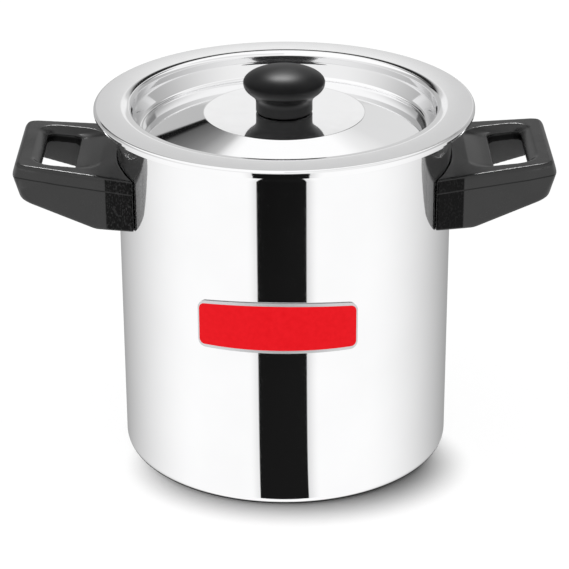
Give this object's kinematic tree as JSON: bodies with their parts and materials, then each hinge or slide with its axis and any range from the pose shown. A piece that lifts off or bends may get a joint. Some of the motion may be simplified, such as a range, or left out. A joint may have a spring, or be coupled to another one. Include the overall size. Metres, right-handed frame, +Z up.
{
  "type": "milk boiler",
  "caption": "Double-walled milk boiler: polished steel pot with a hung inner vessel, a sunken lid with a knob, side handles and a whistle on its filler neck.",
  "frame": {"origin": "centre of the pot's flat base, on the pot's axis", "axes": "+Z up along the pot's axis, +X towards the right-hand handle, -Y towards the front label, +Y towards the whistle"},
  "size_m": [0.2262, 0.1767, 0.1698],
  "materials": {
    "mirror_steel": "mirror-polished stainless steel",
    "plain_steel": "plain stainless and zinc-plated steel, as rolled",
    "bakelite": "satin black moulded phenolic",
    "brass": "turned brass",
    "silicone": "matt silicone rubber",
    "red_plate": "smooth red enamel on thin metal foil with a bare silver edge"
  },
  "bodies": {
    "pot": {"outer_shell": "mirror_steel", "inner_vessel": "mirror_steel", "filler_neck": "plain_steel", "front_label": "red_plate", "right_handle": "bakelite", "right_handle_bracket": "plain_steel", "right_handle_washer": "plain_steel", "right_handle_screw": "plain_steel", "left_handle": "bakelite", "left_handle_bracket": "plain_steel", "left_handle_washer": "plain_steel", "left_handle_screw": "plain_steel"},
    "lid": {"lid_pan": "mirror_steel", "knob": "bakelite", "knob_insert": "brass", "knob_washer": "plain_steel", "knob_screw": "plain_steel"},
    "whistle": {"whistle_cap": "bakelite", "whistle_seal": "silicone", "whistle_disc_lower": "plain_steel", "whistle_disc_upper": "plain_steel"}
  },
  "joints": [
    {"name": "lid_lift", "type": "slide", "parent": "pot", "child": "lid", "axis": [0, 0, 1], "range_m": [0, 0.12]},
    {"name": "whistle_pull", "type": "slide", "parent": "pot", "child": "whistle", "axis": [0, 0.7071, 0.7071], "range_m": [0, 0.03]}
  ]
}
